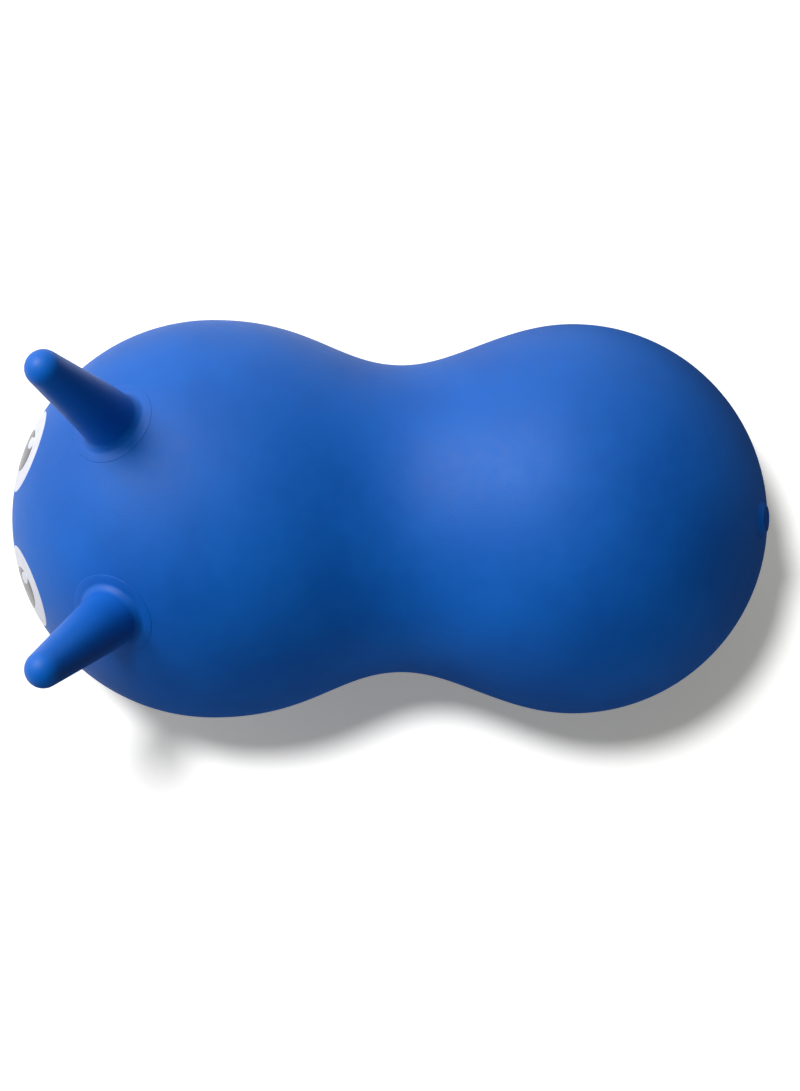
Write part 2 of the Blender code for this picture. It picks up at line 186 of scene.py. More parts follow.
# %% [markdown]
# ## Body skin
# The body is one hollow casting that is round about its own axis, so its shape follows a rule: an
# outline of four curves, turned once round. Modelling it by hand would hide that rule, so Geometry
# Nodes read the outline from four Bezier segments whose sizes are named inputs, and set every point
# of a plain grid from it. The grid's columns are packed closer at the two flanks, where the halves of
# the mould met and left a fine ridge. Under each lobe the weight presses the skin flat on the floor.

# %% Sizes of the body
NOSE_LENGTH = 0.1434
FRONT_RADIUS = 0.1421
FRONT_SHOULDER = 0.1336
WAIST_RADIUS = 0.1100
REAR_SHOULDER = 0.1219
REAR_RADIUS = 0.1394
TAIL_LENGTH = 0.1388
FRONT_EASE = 0.0695
WAIST_EASE_FRONT = 0.0449
WAIST_EASE_REAR = 0.0387
REAR_EASE = 0.0496
SKIN = 0.0025
FLOOR_PRESS = 0.002
RIDGE = 0.0002
RIDGE_WIDTH = 0.0008
REAR_RING = FRONT_SHOULDER + REAR_SHOULDER
PITCH = math.asin((FRONT_RADIUS - REAR_RADIUS) / REAR_RING)
STANCE_PLACE = Vector((0.0, (NOSE_LENGTH - REAR_RING - TAIL_LENGTH) / 2, FRONT_RADIUS - FLOOR_PRESS))
STANCE = Matrix.Translation(STANCE_PLACE) @ Matrix.Rotation(-PITCH, 4, "X")

# %% Tree that turns the outline
def geometry_tree(name, inputs):
    """New Geometry Nodes tree whose inputs are pairs of a title and a kind of socket."""
    tree = bpy.data.node_groups.new(name, "GeometryNodeTree")
    tree.interface.new_socket("Geometry", in_out="OUTPUT", socket_type="NodeSocketGeometry")
    sockets = {}
    for title, kind in inputs:
        sockets[title] = tree.interface.new_socket(title, in_out="INPUT", socket_type="NodeSocket" + kind)
    return tree, sockets, add(tree, "NodeGroupInput").outputs


BODY_INPUTS = {
    "Nose Length": NOSE_LENGTH, "Front Radius": FRONT_RADIUS - RIDGE, "Front Shoulder": FRONT_SHOULDER,
    "Waist Radius": WAIST_RADIUS - RIDGE, "Rear Shoulder": REAR_SHOULDER,
    "Rear Radius": REAR_RADIUS - RIDGE, "Tail Length": TAIL_LENGTH, "Front Ease": FRONT_EASE,
    "Waist Ease Front": WAIST_EASE_FRONT, "Waist Ease Rear": WAIST_EASE_REAR, "Rear Ease": REAR_EASE,
    "Inset": 0.0, "Ridge": RIDGE, "Ridge Width": RIDGE_WIDTH, "Floor": 0.0, "Floor Blend": 0.001,
}
turning, body_sockets, given = geometry_tree(
    "turned_body", [(title, "Float") for title in BODY_INPUTS] + [("Steps", "Int"), ("Sides", "Int")])
print(len(body_sockets), "inputs for the body's tree")

# %% Outline from the named sizes
QUARTER_HANDLE = 0.5523  # share of a radius that makes a curve handle draw a quarter ellipse


def outline_point(radius_terms, station_terms):
    """Outline point from (factor, size) terms: X is the radius, Y the way behind the front ring."""
    place = {"X": 0.0, "Y": 0.0}
    for axis, terms in (("X", radius_terms), ("Y", station_terms)):
        for factor, title in terms:
            place[axis] = add(turning, "ShaderNodeMath", {0: given[title], 1: factor, 2: place[axis]},
                              operation="MULTIPLY_ADD").outputs[0]
    return add(turning, "ShaderNodeCombineXYZ", place).outputs[0]


TO_WAIST = [(1, "Front Shoulder")]
TO_REAR = [(1, "Front Shoulder"), (1, "Rear Shoulder")]
TO_TAIL = TO_REAR + [(1, "Tail Length")]
front_ring = outline_point([(1, "Front Radius")], [])
waist = outline_point([(1, "Waist Radius")], TO_WAIST)
rear_ring = outline_point([(1, "Rear Radius")], TO_REAR)
segments = [
    (outline_point([], [(-1, "Nose Length")]),
     outline_point([(QUARTER_HANDLE, "Front Radius")], [(-1, "Nose Length")]),
     outline_point([(1, "Front Radius")], [(-QUARTER_HANDLE, "Nose Length")]), front_ring),
    (front_ring, outline_point([(1, "Front Radius")], [(1, "Front Ease")]),
     outline_point([(1, "Waist Radius")], TO_WAIST + [(-1, "Waist Ease Front")]), waist),
    (waist, outline_point([(1, "Waist Radius")], TO_WAIST + [(1, "Waist Ease Rear")]),
     outline_point([(1, "Rear Radius")], TO_REAR + [(-1, "Rear Ease")]), rear_ring),
    (rear_ring, outline_point([(1, "Rear Radius")], TO_REAR + [(QUARTER_HANDLE, "Tail Length")]),
     outline_point([(QUARTER_HANDLE, "Rear Radius")], TO_TAIL), outline_point([], TO_TAIL)),
]
print("outline of", len(segments), "curves")

# %% Grid that takes its points from the outline
rows = add(turning, "ShaderNodeMath", {0: given["Steps"], 1: len(segments), 2: 1.0},
           operation="MULTIPLY_ADD")
columns = add(turning, "ShaderNodeMath", {0: given["Sides"], 1: 1.0}, operation="ADD")
grid = add(turning, "GeometryNodeMeshGrid", {
    "Size X": 1.0, "Size Y": 1.0, "Vertices X": rows.outputs[0], "Vertices Y": columns.outputs[0]})
unit = add(turning, "ShaderNodeSeparateXYZ", {0: add(turning, "GeometryNodeInputPosition").outputs[0]})
along = add(turning, "ShaderNodeMath", {0: unit.outputs["X"], 1: len(segments), 2: len(segments) / 2},
            operation="MULTIPLY_ADD").outputs[0]
turn = add(turning, "ShaderNodeMath", {0: unit.outputs["Y"], 1: math.tau}, operation="MULTIPLY").outputs[0]
which = add(turning, "GeometryNodeIndexSwitch", data_type="VECTOR")
slopes = add(turning, "GeometryNodeIndexSwitch", data_type="VECTOR")
for switch in (which, slopes):
    while len(switch.index_switch_items) < len(segments):
        switch.index_switch_items.new()
nearest = add(turning, "ShaderNodeMath", {0: along, 1: 0.00001}, operation="SUBTRACT")
index = add(turning, "ShaderNodeMath", {0: nearest.outputs[0]}, operation="FLOOR")
index = add(turning, "ShaderNodeClamp", {"Value": index.outputs[0], "Max": len(segments) - 1.0})
for i, (start, leave, arrive, end) in enumerate(segments):
    bow = add(turning, "GeometryNodeCurvePrimitiveBezierSegment",
              {"Resolution": 128, "Start": start, "Start Handle": leave, "End Handle": arrive, "End": end})
    share = add(turning, "ShaderNodeMath", {0: along, 1: float(i)}, operation="SUBTRACT", use_clamp=True)
    sample = add(turning, "GeometryNodeSampleCurve", {"Curves": bow.outputs[0], "Factor": share.outputs[0]},
                 mode="FACTOR", use_all_curves=True)
    turning.links.new(sample.outputs["Position"], which.inputs[i + 1])
    turning.links.new(sample.outputs["Tangent"], slopes.inputs[i + 1])
for switch in (which, slopes):
    turning.links.new(index.outputs[0], switch.inputs["Index"])
tangent = add(turning, "ShaderNodeSeparateXYZ", {0: slopes.outputs[0]})
inward_station = add(turning, "ShaderNodeMath", {0: tangent.outputs["X"], 1: given["Inset"]},
                     operation="MULTIPLY")
inward_radius = add(turning, "ShaderNodeMath", {0: tangent.outputs["Y"], 1: given["Inset"]},
                    operation="MULTIPLY")
spot = add(turning, "ShaderNodeSeparateXYZ", {0: which.outputs[0]})
station = add(turning, "ShaderNodeMath", {0: spot.outputs["Y"], 1: inward_station.outputs[0]},
              operation="ADD").outputs[0]
radius = add(turning, "ShaderNodeMath", {0: spot.outputs["X"], 1: inward_radius.outputs[0]},
             operation="SUBTRACT").outputs[0]
print("grid reads its radius and station")

# %% Turn, ridge, stance and floor
PACKING = 0.43  # how strongly the columns crowd at the flanks, below a half
RIDGE_FADE = 0.004  # radius round a pole inside which the ridge fades out
double = add(turning, "ShaderNodeMath", {0: turn, 1: 2.0}, operation="MULTIPLY")
crowd = add(turning, "ShaderNodeMath", {0: double.outputs[0]}, operation="SINE")
angle = add(turning, "ShaderNodeMath", {0: crowd.outputs[0], 1: -PACKING, 2: turn},
            operation="MULTIPLY_ADD").outputs[0]
cosine = add(turning, "ShaderNodeMath", {0: angle}, operation="COSINE").outputs[0]
sine = add(turning, "ShaderNodeMath", {0: angle}, operation="SINE").outputs[0]
level = add(turning, "ShaderNodeMath", {0: radius, 1: sine}, operation="MULTIPLY").outputs[0]
ratio = add(turning, "ShaderNodeMath", {0: level, 1: given["Ridge Width"]}, operation="DIVIDE").outputs[0]
squared = add(turning, "ShaderNodeMath", {0: ratio, 1: ratio}, operation="MULTIPLY").outputs[0]
falling = add(turning, "ShaderNodeMath", {0: squared, 1: -1.0}, operation="MULTIPLY").outputs[0]
bell = add(turning, "ShaderNodeMath", {0: falling}, operation="EXPONENT").outputs[0]
near_pole = add(turning, "ShaderNodeMapRange", {"Value": radius, "From Max": RIDGE_FADE}).outputs[0]
crest = add(turning, "ShaderNodeMath", {0: bell, 1: near_pole}, operation="MULTIPLY").outputs[0]
proud = add(turning, "ShaderNodeMath", {0: crest, 1: given["Ridge"], 2: radius},
            operation="MULTIPLY_ADD").outputs[0]
across = add(turning, "ShaderNodeMath", {0: proud, 1: cosine}, operation="MULTIPLY")
above = add(turning, "ShaderNodeMath", {0: proud, 1: sine}, operation="MULTIPLY")
point = add(turning, "ShaderNodeCombineXYZ",
            {"X": across.outputs[0], "Y": station, "Z": above.outputs[0]})
turned = add(turning, "GeometryNodeSetPosition",
             {"Geometry": grid.outputs[0], "Position": point.outputs[0]})
standing = add(turning, "GeometryNodeTransform", {
    "Geometry": turned.outputs[0], "Translation": STANCE_PLACE, "Rotation": (-PITCH, 0.0, 0.0)})
stood = add(turning, "ShaderNodeSeparateXYZ", {0: add(turning, "GeometryNodeInputPosition").outputs[0]})
pressed = add(turning, "ShaderNodeMath",
              {0: stood.outputs["Z"], 1: given["Floor"], 2: given["Floor Blend"]}, operation="SMOOTH_MAX")
resting = add(turning, "ShaderNodeCombineXYZ",
              {"X": stood.outputs["X"], "Y": stood.outputs["Y"], "Z": pressed.outputs[0]})
rested = add(turning, "GeometryNodeSetPosition",
             {"Geometry": standing.outputs[0], "Position": resting.outputs[0]})
welded = add(turning, "GeometryNodeMergeByDistance", {"Geometry": rested.outputs[0], "Distance": 0.000002})
smooth = add(turning, "GeometryNodeSetShadeSmooth", {"Geometry": welded.outputs[0]})
real = add(turning, "GeometryNodeRealizeInstances", {"Geometry": smooth.outputs[0]})
coated = add(turning, "GeometryNodeSetMaterial", {"Geometry": real.outputs[0], "Material": skin_pvc})
add(turning, "NodeGroupOutput", {"Geometry": coated.outputs[0]})
print(len(turning.nodes), "nodes in the body's tree")


# %% From tree to plain mesh
def plain_mesh(name, tree, sockets, values):
    """Evaluates a tree with the given inputs and returns an object with the result as plain mesh."""
    source = bpy.data.objects.new(name + "_source", bpy.data.meshes.new(name + "_source"))
    bpy.context.scene.collection.objects.link(source)
    step = source.modifiers.new(tree.name, "NODES")
    step.node_group = tree
    for title, value in values.items():
        step[sockets[title].identifier] = value
    evaluated = source.evaluated_get(bpy.context.evaluated_depsgraph_get())
    mesh = bpy.data.meshes.new_from_object(evaluated)
    mesh.name = name
    bpy.data.objects.remove(source)
    made = bpy.data.objects.new(name, mesh)
    bpy.context.scene.collection.objects.link(made)
    return made


def face_outwards(piece):
    """Recalculates the normals of a closed mesh."""
    bm = bmesh.new()
    bm.from_mesh(piece.data)
    bmesh.ops.recalc_face_normals(bm, faces=bm.faces)
    bm.to_mesh(piece.data)
    bm.free()


body = plain_mesh("body_skin", turning, body_sockets, BODY_INPUTS | {"Steps": 48, "Sides": 224})
cavity = plain_mesh("body_air", turning, body_sockets, BODY_INPUTS | {
    "Inset": SKIN, "Ridge": 0.0, "Floor": SKIN, "Steps": 24, "Sides": 96})
for form in (body, cavity):
    face_outwards(form)
    print(form.name, len(form.data.vertices), "points", [round(v, 4) for v in form.dimensions])

# %% [markdown]
# ## Turned pieces
# The horns, the bush and the stopper are round about an axis of their own. A lathe profile is the
# plainest way to make them, because the hollow inside, the spigot and every rounded edge are then
# points of one line. Moulded soft PVC has no sharp edge, so a small helper rounds each corner of a
# profile. It takes the corner's own radius, and less where the two sides are short.

# %% Rounded profiles and a lathe
SHARP_ANGLE = math.radians(50.0)  # an edge that turns more than this is shaded as an edge


def rounded(corners, steps=4):
    """Profile with each (x, y, radius) corner replaced by a small curve."""
    line = []
    for i, (x, y, radius) in enumerate(corners):
        here = Vector((x, y))
        if radius == 0.0 or i in (0, len(corners) - 1):
            line.append(here)
            continue
        before = Vector(corners[i - 1][:2]) - here
        after = Vector(corners[i + 1][:2]) - here
        cut = min(radius, before.length * 0.49, after.length * 0.49)
        start = here + before.normalized() * cut
        end = here + after.normalized() * cut
        line += interpolate_bezier(start, start.lerp(here, 0.55), end.lerp(here, 0.55), end, steps + 1)
    return line


def lathe(profile, sides, ring=False):
    """Mesh turned about Z from (radius, height) points; a ring's profile closes on itself."""
    bm = bmesh.new()
    points = [bm.verts.new((p[0], 0.0, p[1])) for p in profile]
    edges = [bm.edges.new(pair) for pair in zip(points, points[1:])]
    if ring:
        edges.append(bm.edges.new((points[-1], points[0])))
    bmesh.ops.spin(bm, geom=points + edges, cent=(0, 0, 0), axis=(0, 0, 1), angle=math.tau,
                   steps=sides, use_merge=True)
    bmesh.ops.remove_doubles(bm, verts=bm.verts, dist=0.000002)
    bmesh.ops.recalc_face_normals(bm, faces=bm.faces)
    return bm


def stand(name, bm, place, material):
    """Object at the origin whose mesh is moved to its place in the stance's frame."""
    bm.transform(STANCE @ place)
    mesh = bpy.data.meshes.new(name)
    bm.to_mesh(mesh)
    bm.free()
    mesh.shade_smooth()
    mesh.set_sharp_from_angle(angle=SHARP_ANGLE)
    mesh.materials.append(material)
    made = bpy.data.objects.new(name, mesh)
    bpy.context.scene.collection.objects.link(made)
    return made


print("a corner becomes", len(rounded([(0, 0, 0), (1, 0, 0.1), (1, 1, 0)])) - 2, "points")


# %% Places on a lobe
def direction(azimuth, elevation, facing):
    """Unit vector by its angle out from straight ahead (or behind) and its angle above level."""
    flat = math.cos(elevation)
    return Vector((flat * math.sin(azimuth), facing * flat * math.cos(azimuth), math.sin(elevation)))


def on_lobe(toward, half_length, radius):
    """Point and outward normal where a ray from a lobe's centre leaves its skin."""
    shrink = Vector((1 / radius, 1 / half_length, 1 / radius))
    place = toward / (toward * shrink).length
    return place, (place * shrink * shrink).normalized()


def skin_place(spot, normal, lean):
    """Place on the skin with Z along the normal and Y on the side that lean points to."""
    sideways = lean.cross(normal).normalized()
    axes = Matrix((sideways, normal.cross(sideways), normal)).transposed()
    return Matrix.Translation(spot) @ axes.to_4x4()


def fall(distance, lobe_radius):
    """How far a lobe's skin falls below its tangent plane at a distance from the touching point."""
    return lobe_radius - math.sqrt(lobe_radius**2 - distance**2)


print("the skin falls", round(fall(0.03, FRONT_RADIUS) / MILLIMETRE, 2), "mm at 30 mm")

# %% [markdown]
# ## Horns
# Each horn is a hollow grip. It leans forward and outward, tapers to a round tip, and at its foot it
# flares into a thin flange that is bonded to the skin over a port, so the horn fills with the same
# air. The profile is turned upright and then bent over its foot, because the flange has to lie square
# on the skin while the grip leans away from it.

# %% Sizes of a horn
HORN_AZIMUTH = math.radians(46.2)
HORN_ELEVATION = math.radians(50.5)
HORN_HEADING = math.radians(42.1)
HORN_TILT = math.radians(24.8)
HORN_LENGTH = 0.100
HORN_TIP_RADIUS = 0.0122
HORN_ROOT_RADIUS = 0.0205
HORN_FLARE_HEIGHT = 0.0052
HORN_BEND_HEIGHT = 0.018
FLARE_SPREAD = 0.42  # how softly the flare turns, 0 for a tight corner
HORN_FLANGE_RADIUS = 0.0300
FLANGE_FEATHER = 0.0003  # the flange's edge is thinned until only a hairline shows
HORN_FLANGE_LAND = 0.0050
HORN_WALL = 0.0030
PORT_RADIUS = 0.0140
SPIGOT_REACH = 0.0040
SPIGOT_WALL = 0.0025
CLEARANCE = 0.0003
# Painted light: from this height up the grip has its full painted lighter colour.
LIT_GRIP_START = 0.0060  # height above the skin from which the grip has its full colour
BONDED = 0.0001  # how deep a bonded face sits in the skin, so that no gap shows
HORN_SIDES = 96
TURNED_SKIN = FRONT_RADIUS - RIDGE
print("horn", round(HORN_LENGTH + HORN_TIP_RADIUS, 4), "m along its axis")


# %% Profile of a horn
TIP_STEPS = 14
UNDER_STEPS = 8
FLARE_STEPS = 28
GRIP_STEPS = 16


def bend_over(bm, lean):
    """Bends a form over its foot towards +Y, from upright at the skin to the lean above the foot."""
    turn_radius = HORN_BEND_HEIGHT / lean
    for vert in bm.verts:
        x, y, z = vert.co
        if z <= 0.0:
            continue
        turned_by = min(z, HORN_BEND_HEIGHT) / turn_radius
        run = max(0.0, z - HORN_BEND_HEIGHT)
        axis_y = turn_radius * (1 - math.cos(turned_by)) + run * math.sin(turned_by)
        axis_z = turn_radius * math.sin(turned_by) + run * math.cos(turned_by)
        vert.co = (x, axis_y + y * math.cos(turned_by), axis_z - y * math.sin(turned_by))


def horn_profile():
    """Line from the top of the hollow, down through the spigot, round the flange and up to the tip."""
    taper = (HORN_ROOT_RADIUS - HORN_TIP_RADIUS) / HORN_LENGTH
    tip_turn = math.asin(taper)
    flare_top = Vector((HORN_ROOT_RADIUS - taper * HORN_FLARE_HEIGHT, HORN_FLARE_HEIGHT))
    spigot = PORT_RADIUS - CLEARANCE
    spigot_end = -fall(PORT_RADIUS, TURNED_SKIN) - SKIN - SPIGOT_REACH
    hollow_tip = HORN_TIP_RADIUS - HORN_WALL
    tip_angles = [tip_turn + (math.pi / 2 - tip_turn) * i / TIP_STEPS for i in range(TIP_STEPS + 1)]
    line = [(hollow_tip * math.cos(a), HORN_LENGTH + hollow_tip * math.sin(a))
            for a in reversed(tip_angles)]
    line += [(HORN_ROOT_RADIUS - taper * HORN_BEND_HEIGHT - HORN_WALL, HORN_BEND_HEIGHT)]
    line += [(flare_top.x - HORN_WALL, HORN_FLARE_HEIGHT), (spigot - SPIGOT_WALL, HORN_WALL)]
    line += [(spigot - SPIGOT_WALL, spigot_end), (spigot, spigot_end)]
    under = [spigot + (HORN_FLANGE_RADIUS - spigot) * i / UNDER_STEPS for i in range(UNDER_STEPS + 1)]
    line += [(r, -fall(r, TURNED_SKIN) - BONDED) for r in under]
    top = FLANGE_FEATHER
    land = HORN_FLANGE_RADIUS - HORN_FLANGE_LAND
    rim = top - fall(HORN_FLANGE_RADIUS, TURNED_SKIN)
    land_top = Vector((land, top - fall(land, TURNED_SKIN)))
    lip = rounded([(HORN_FLANGE_RADIUS, rim - 0.002, 0.0), (HORN_FLANGE_RADIUS, rim, 0.0003),
                   (*land_top, 0.0)])
    line += [tuple(p) for p in lip[1:-1]]
    spread = FLARE_SPREAD * land + (1 - FLARE_SPREAD) * flare_top.x
    climb = (flare_top.x, FLARE_SPREAD * HORN_FLARE_HEIGHT)
    flare = interpolate_bezier(land_top, (spread, land_top.y), climb, flare_top, FLARE_STEPS)
    line += [tuple(p) for p in flare]
    grip = HORN_TIP_RADIUS * Vector((math.cos(tip_turn), math.sin(tip_turn))) + Vector((0.0, HORN_LENGTH))
    line += [tuple(flare_top.lerp(grip, i / GRIP_STEPS)) for i in range(1, GRIP_STEPS)]
    line += [(HORN_TIP_RADIUS * math.cos(a), HORN_LENGTH + HORN_TIP_RADIUS * math.sin(a))
             for a in tip_angles]
    return line


print(len(horn_profile()), "points in a horn's profile")

# %% Two horns
horns = {}
horn_places = {}
for side, sign in (("left", 1), ("right", -1)):
    toward = direction(sign * HORN_AZIMUTH, HORN_ELEVATION, -1)
    spot, normal = on_lobe(toward, NOSE_LENGTH, TURNED_SKIN)
    grip_axis = direction(sign * HORN_HEADING, math.pi / 2 - HORN_TILT, -1)
    horn_places[side] = skin_place(spot, normal, grip_axis)
    form = lathe(horn_profile(), HORN_SIDES)
    # The grip layer holds the share of the grip's painted lighter colour: 0 at the foot, 1 higher up.
    grip = form.verts.layers.float.new("grip")
    for vert in form.verts:
        vert[grip] = min(1.0, max(0.0, vert.co.z / LIT_GRIP_START))
    bend_over(form, normal.angle(grip_axis))
    horns[side] = stand(f"horn_{side}_grip", form, horn_places[side], horn_pvc)
    print(horns[side].name, len(horns[side].data.vertices), [round(v, 4) for v in horns[side].dimensions])

# %% [markdown]
# ## Valve bush and stopper
# At the tail a moulded bush sits in a hole in the skin. Outside it is a low dome with a round seat,
# inside it has a flange and a sleeve whose bore takes the stopper. The stopper's head lies in the
# seat, with a scoop beside it for a fingernail, and its ribbed stem holds it in the bore.

# %% Sizes of the valve and the bush
VALVE_ELEVATION = math.radians(22.0)
VALVE_HOLE_RADIUS = 0.0100
BOSS_RADIUS = 0.0135
BOSS_RISE = 0.0028
BOSS_EDGE = 0.0001  # the boss is thinned towards its edge, so that it swells out of the skin
CREST_WIDTH = 0.0016
BACK_FLANGE_RADIUS = 0.0160
BACK_FLANGE_THICKNESS = 0.0025
SLEEVE_RADIUS = 0.0070
SLEEVE_LENGTH = 0.0130
SEAT_RADIUS = 0.0072
SEAT_DEPTH = 0.0024
BORE_RADIUS = 0.0042
NAIL_NOTCH_RADIUS = 0.0022
VALVE_SIDES = 96
TAIL_SKIN = REAR_RADIUS - RIDGE
spot, normal = on_lobe(direction(0.0, VALVE_ELEVATION, 1), TAIL_LENGTH, TAIL_SKIN)
VALVE_PLACE = skin_place(spot + Vector((0.0, REAR_RING, 0.0)), normal, Vector((0.0, 0.0, 1.0)))
SEAT = BOSS_RISE - SEAT_DEPTH
print("valve at", [round(v, 4) for v in (STANCE @ VALVE_PLACE).translation])


# %% Bush
def bush_profile():
    """Closed line round the bush, from the sleeve's inner end up the bore and back down outside."""
    boss_rim = BOSS_EDGE + CLEARANCE - fall(BOSS_RADIUS, TAIL_SKIN)
    crest_edge = SEAT_RADIUS + CREST_WIDTH
    neck = VALVE_HOLE_RADIUS - CLEARANCE
    back = -SKIN - CLEARANCE - fall(BACK_FLANGE_RADIUS, TAIL_SKIN)
    back_end = back - BACK_FLANGE_THICKNESS
    slope = (BOSS_RADIUS - crest_edge) * 0.3
    inner = rounded([
        (BORE_RADIUS, -SLEEVE_LENGTH, 0.0), (BORE_RADIUS, SEAT, 0.0004), (SEAT_RADIUS, SEAT, 0.0003),
        (SEAT_RADIUS, BOSS_RISE, 0.0005), (crest_edge, BOSS_RISE, 0.0)])
    dome = interpolate_bezier((crest_edge, BOSS_RISE), (crest_edge + slope, BOSS_RISE),
                              (BOSS_RADIUS - slope, boss_rim), (BOSS_RADIUS, boss_rim), 14)
    outer = rounded([
        (BOSS_RADIUS, boss_rim, 0.0), (BOSS_RADIUS, -fall(BOSS_RADIUS, TAIL_SKIN) - BONDED, 0.0),
        (neck, -fall(neck, TAIL_SKIN) - BONDED, 0.0), (neck, back, 0.0), (BACK_FLANGE_RADIUS, back, 0.0004),
        (BACK_FLANGE_RADIUS, back_end, 0.0006), (SLEEVE_RADIUS, back_end, 0.0006),
        (SLEEVE_RADIUS, -SLEEVE_LENGTH, 0.0)])
    return [tuple(p[:2]) for p in inner + dome[1:] + outer[1:]]


bush = stand("valve_bush_grommet", lathe(bush_profile(), VALVE_SIDES, ring=True), VALVE_PLACE, bush_pvc)
print(bush.name, len(bush.data.vertices), [round(v, 4) for v in bush.dimensions])

# %% Scoop for a fingernail
WELD = 0.000005  # points closer than this become one, so that a cut leaves no slivers


def cut_away(piece, cutter):
    """Takes the cutter out of the piece and deletes it."""
    step = piece.modifiers.new("cut", "BOOLEAN")
    step.operation = "DIFFERENCE"
    step.solver = "MANIFOLD"
    step.object = cutter
    evaluated = piece.evaluated_get(bpy.context.evaluated_depsgraph_get())
    mesh = bpy.data.meshes.new_from_object(evaluated)
    piece.modifiers.remove(step)
    bm = bmesh.new()
    bm.from_mesh(mesh)
    bmesh.ops.remove_doubles(bm, verts=bm.verts, dist=WELD)
    bmesh.ops.dissolve_degenerate(bm, dist=WELD, edges=bm.edges)
    bm.to_mesh(mesh)
    bm.free()
    old = piece.data
    mesh.name = old.name
    piece.data = mesh
    bpy.data.meshes.remove(old)
    bpy.data.objects.remove(cutter)


ball = bmesh.new()
bmesh.ops.create_uvsphere(ball, u_segments=32, v_segments=20, radius=NAIL_NOTCH_RADIUS)
scoop_place = VALVE_PLACE @ Matrix.Translation((0.0, -SEAT_RADIUS, BOSS_RISE))
cut_away(bush, stand("nail_scoop", ball, scoop_place, bush_pvc))
print(bush.name, len(bush.data.vertices), "points with the scoop")

# %% Hollow skin with its ports and valve hole
DRILL = 0.01  # how far a cutter reaches to either side of the skin's outer face
holes = [(f"port_{side}", PORT_RADIUS, place) for side, place in horn_places.items()]
holes.append(("valve_hole", VALVE_HOLE_RADIUS, VALVE_PLACE))
cut_away(body, cavity)
for name, hole, place in holes:
    bore = lathe([(0.0, -DRILL), (hole, -DRILL), (hole, DRILL), (0.0, DRILL)], VALVE_SIDES)
    cut_away(body, stand(name, bore, place, skin_pvc))
body.data.set_sharp_from_angle(angle=SHARP_ANGLE)
print(body.name, len(body.data.vertices), "points after the cuts")

# %% [markdown]
# The stopper's ribs are alike and evenly spaced, so Geometry Nodes set one barbed ring on a row of
# points. The stem and head are one lathe profile; the head is dished, with a soft rim.

# %% Stopper's stem and head
HEAD_PROUD = 0.0004
HEAD_RIM = 0.0014
HEAD_DISH = 0.0007
STEM_RADIUS = 0.0031
STEM_TIP_RADIUS = 0.0022
STEM_LENGTH = 0.0170
head = SEAT_RADIUS - CLEARANCE
under_head = SEAT + CLEARANCE
head_top = BOSS_RISE + HEAD_PROUD
stem_tip = under_head - STEM_LENGTH
dish = head_top - HEAD_DISH
stopper_line = rounded([
    (0.0, stem_tip, 0.0), (STEM_TIP_RADIUS, stem_tip, 0.0006), (STEM_RADIUS, stem_tip + 0.0028, 0.001),
    (STEM_RADIUS, under_head, 0.0004), (head, under_head, 0.0003), (head, head_top, 0.0006),
    (head - HEAD_RIM, head_top, 0.0004), (head - HEAD_RIM - HEAD_DISH, dish, 0.0006), (0.0, dish, 0.0)])
stem = stand("stopper_stem", lathe([tuple(p) for p in stopper_line], VALVE_SIDES), VALVE_PLACE, plug_pvc)
print(stem.name, len(stem.data.vertices), [round(v, 4) for v in stem.dimensions])

# %% One rib
RIB_LENGTH = 0.0024
rib_edge = BORE_RADIUS - CLEARANCE
inside = STEM_RADIUS - 0.0004
rib_line = rounded([
    (inside, 0.0, 0.0), (STEM_RADIUS, 0.0, 0.0), (rib_edge, RIB_LENGTH - 0.0002, 0.0002),
    (rib_edge - 0.0001, RIB_LENGTH, 0.0001), (inside, RIB_LENGTH, 0.0)])
rib_form = lathe([tuple(p) for p in rib_line], VALVE_SIDES, ring=True)
rib_mesh = bpy.data.meshes.new("stopper_rib")
rib_form.to_mesh(rib_mesh)
rib_form.free()
rib_mesh.shade_smooth()
rib_mesh.set_sharp_from_angle(angle=SHARP_ANGLE)
rib = bpy.data.objects.new("stopper_rib", rib_mesh)
bpy.context.scene.collection.objects.link(rib)
print(rib.name, len(rib_mesh.polygons), "faces")

# %% Row of ribs
RIB_COUNT = 3
RIB_PITCH = 0.0038
ribbing, rib_sockets, given = geometry_tree(
    "stopper_ribs", [("Rib", "Object"), ("Count", "Int"), ("Pitch", "Float"), ("First", "Float")])
first = add(ribbing, "ShaderNodeCombineXYZ", {"Z": given["First"]})
step = add(ribbing, "ShaderNodeCombineXYZ", {"Z": given["Pitch"]})
row = add(ribbing, "GeometryNodeMeshLine",
          {"Count": given["Count"], "Start Location": first.outputs[0], "Offset": step.outputs[0]})
one_rib = add(ribbing, "GeometryNodeObjectInfo", {"Object": given["Rib"]})
copies = add(ribbing, "GeometryNodeInstanceOnPoints",
             {"Points": row.outputs[0], "Instance": one_rib.outputs["Geometry"]})
real = add(ribbing, "GeometryNodeRealizeInstances", {"Geometry": copies.outputs[0]})
coated = add(ribbing, "GeometryNodeSetMaterial", {"Geometry": real.outputs[0], "Material": plug_pvc})
add(ribbing, "NodeGroupOutput", {"Geometry": coated.outputs[0]})
ribs = plain_mesh("stopper_ribs", ribbing, rib_sockets, {
    "Rib": rib, "Count": RIB_COUNT, "Pitch": RIB_PITCH,
    "First": stem_tip + (STEM_LENGTH - RIB_COUNT * RIB_PITCH) / 2})
ribs.data.transform(STANCE @ VALVE_PLACE)
bpy.data.objects.remove(rib)
print(ribs.name, len(ribs.data.vertices), "points in", RIB_COUNT, "ribs")

# %% [markdown]
# ## Printed eyes
# The eyes are screen printed on the nose: a white oval, a black pupil over it and a white catchlight
# over that, each a thin layer of ink. All six ovals follow the same curved skin, so one tree makes
# them: it lays a round grid out flat, carries each point onto the lobe and lifts it by the ink's
# thickness, with an edge that falls to the skin. A flat disc wrapped by a modifier would stretch.

# %% Ink finishes
INK_SPECKLE = 0.8 * MILLIMETRE
INK_WAVE = 6.0 * MILLIMETRE


